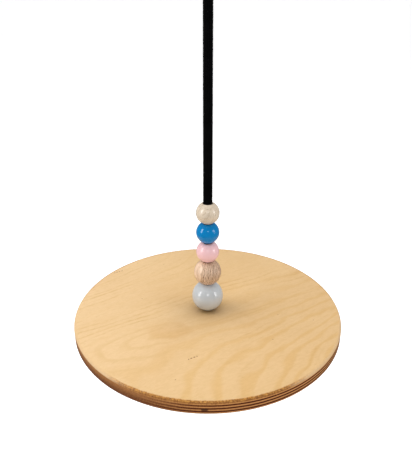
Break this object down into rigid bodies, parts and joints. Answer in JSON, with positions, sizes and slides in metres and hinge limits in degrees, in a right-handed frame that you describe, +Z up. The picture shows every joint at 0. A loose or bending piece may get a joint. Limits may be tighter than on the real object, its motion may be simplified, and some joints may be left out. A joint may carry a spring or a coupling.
{
  "type": "disc swing",
  "caption": "Children's disc swing: round plywood seat hung from a braided rope threaded with wooden beads, with thimble eye, snap hook and ceiling plate.",
  "frame": {"origin": "centre of the ceiling plate's top face, midway between its four screw holes", "axes": "+Z up into the ceiling and along the hanging rope, +X along the plate's long side and along the bar of the hanging bow"},
  "size_m": [0.3, 0.3, 0.5954],
  "materials": {
    "zinc_plate": "satin zinc plating",
    "zinc_hook": "bright zinc plating",
    "galvanised": "galvanised",
    "pressed_aluminium": "satin",
    "black_rope": "braided, matt",
    "birch_plywood": "clear satin varnish",
    "grey_lacquer": "gloss lacquer",
    "bare_grained_wood": "oiled, open grain",
    "pink_lacquer": "satin lacquer",
    "blue_lacquer": "gloss lacquer",
    "clear_lacquer": "clear gloss lacquer"
  },
  "bodies": {
    "ceiling_fitting": {"ceiling_plate": "zinc_plate", "hanging_bow": "zinc_plate"},
    "snap_hook": {"hook_body": "zinc_hook", "gate_pin": "zinc_hook"},
    "gate": {"hook_gate": "zinc_hook"},
    "rope_line": {"rope": "black_rope", "thimble": "galvanised", "ferrule": "pressed_aluminium", "washer": "galvanised", "stopper_knot": "black_rope", "knot_tail": "black_rope"},
    "seat": {"seat_disc": "birch_plywood"},
    "first_bead": {"bead_grey": "grey_lacquer"},
    "second_bead": {"bead_grained": "bare_grained_wood"},
    "third_bead": {"bead_pink": "pink_lacquer"},
    "fourth_bead": {"bead_blue": "blue_lacquer"},
    "fifth_bead": {"bead_natural": "clear_lacquer"}
  },
  "joints": [
    {"name": "hook_swing", "type": "hinge", "parent": "ceiling_fitting", "child": "snap_hook", "pos_m": [0, 0, -0.034], "axis": [1, 0, 0], "range_deg": [-60, 60]},
    {"name": "gate_open", "type": "hinge", "parent": "snap_hook", "child": "gate", "pos_m": [0, 0.016, -0.0797], "axis": [1, 0, 0], "range_deg": [0, 25], "stiffness_Nm_per_rad": 0.05, "springref_deg": -22.92},
    {"name": "rope_swing", "type": "hinge", "parent": "snap_hook", "child": "rope_line", "pos_m": [0, 0, -0.0977], "axis": [0, 1, 0], "range_deg": [-60, 60]},
    {"name": "seat_spin", "type": "hinge", "parent": "rope_line", "child": "seat", "pos_m": [0, 0, -0.52045], "axis": [0, 0, 1], "continuous": true},
    {"name": "first_bead_lift", "type": "slide", "parent": "rope_line", "child": "first_bead", "axis": [0, 0, 1], "range_m": [0, 0.04]},
    {"name": "second_bead_lift", "type": "slide", "parent": "first_bead", "child": "second_bead", "axis": [0, 0, 1], "range_m": [0, 0.04]},
    {"name": "third_bead_lift", "type": "slide", "parent": "second_bead", "child": "third_bead", "axis": [0, 0, 1], "range_m": [0, 0.04]},
    {"name": "fourth_bead_lift", "type": "slide", "parent": "third_bead", "child": "fourth_bead", "axis": [0, 0, 1], "range_m": [0, 0.04]},
    {"name": "fifth_bead_lift", "type": "slide", "parent": "fourth_bead", "child": "fifth_bead", "axis": [0, 0, 1], "range_m": [0, 0.04]}
  ]
}
